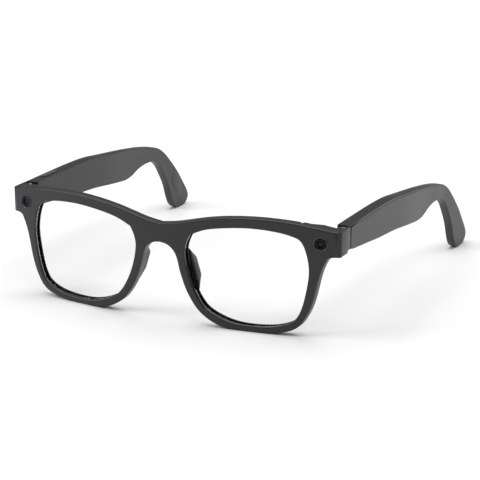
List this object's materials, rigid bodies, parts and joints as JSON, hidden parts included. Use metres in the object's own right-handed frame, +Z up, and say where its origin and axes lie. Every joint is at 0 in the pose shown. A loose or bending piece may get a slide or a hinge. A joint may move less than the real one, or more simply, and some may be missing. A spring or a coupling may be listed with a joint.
{
  "type": "smart glasses",
  "caption": "Black glasses with a round camera in each end of the front, clear lenses, and folding temples that hold the battery, board and speaker.",
  "frame": {"origin": "middle of the part's width and depth, on the surface that it stands on with the temples open", "axes": "+X to the wearer's left, +Y backwards along the open temples, +Z up"},
  "size_m": [0.1496, 0.1562, 0.047],
  "materials": {
    "frame": "satin",
    "soft": "matte",
    "lens": "clear",
    "ring": "satin",
    "camera_glass": "gloss",
    "camera_body": "matte",
    "steel": "satin",
    "contact": "gloss",
    "cell": "satin",
    "board": "satin"
  },
  "bodies": {
    "front": {"front_frame": "frame", "charge_contacts": "contact", "flex_cable": "contact", "lens_left": "lens", "lens_right": "lens", "nose_pad_left": "frame", "nose_pad_right": "frame", "camera_ring_left": "ring", "camera_ring_right": "ring", "camera_window_left": "camera_glass", "camera_window_right": "camera_glass", "camera_barrel_left": "camera_body", "camera_barrel_right": "camera_body", "front_hinge_left": "steel", "front_hinge_right": "steel", "hinge_screw_left": "steel", "hinge_screw_right": "steel"},
    "temple_left": {"temple_shell_left": "frame", "temple_cover_left": "frame", "temple_hinge_left": "steel", "ear_tip_left": "soft", "battery_left": "cell", "circuit_board_left": "board", "speaker_left": "camera_body", "speaker_grille_left": "camera_body", "mic_port_left": "camera_body"},
    "temple_right": {"temple_shell_right": "frame", "temple_cover_right": "frame", "temple_hinge_right": "steel", "ear_tip_right": "soft", "battery_right": "cell", "circuit_board_right": "board", "speaker_right": "camera_body", "speaker_grille_right": "camera_body", "mic_port_right": "camera_body"},
    "capture_button": {"capture_button": "soft"},
    "power_slider": {"power_slider": "soft"}
  },
  "joints": [
    {"name": "temple_left_fold", "type": "hinge", "parent": "front", "child": "temple_left", "pos_m": [0.0721, -0.06025, 0.039], "axis": [0, 0, 1], "range_deg": [0, 86]},
    {"name": "temple_right_fold", "type": "hinge", "parent": "front", "child": "temple_right", "pos_m": [-0.0721, -0.06025, 0.039], "axis": [0, 0, -1], "range_deg": [0, 92]},
    {"name": "capture_press", "type": "slide", "parent": "temple_right", "child": "capture_button", "axis": [0, 0, -1], "range_m": [0, 0.00035], "stiffness_N_per_m": 800},
    {"name": "power_switch", "type": "slide", "parent": "temple_left", "child": "power_slider", "axis": [0, 1, 0], "range_m": [0, 0.003]}
  ]
}
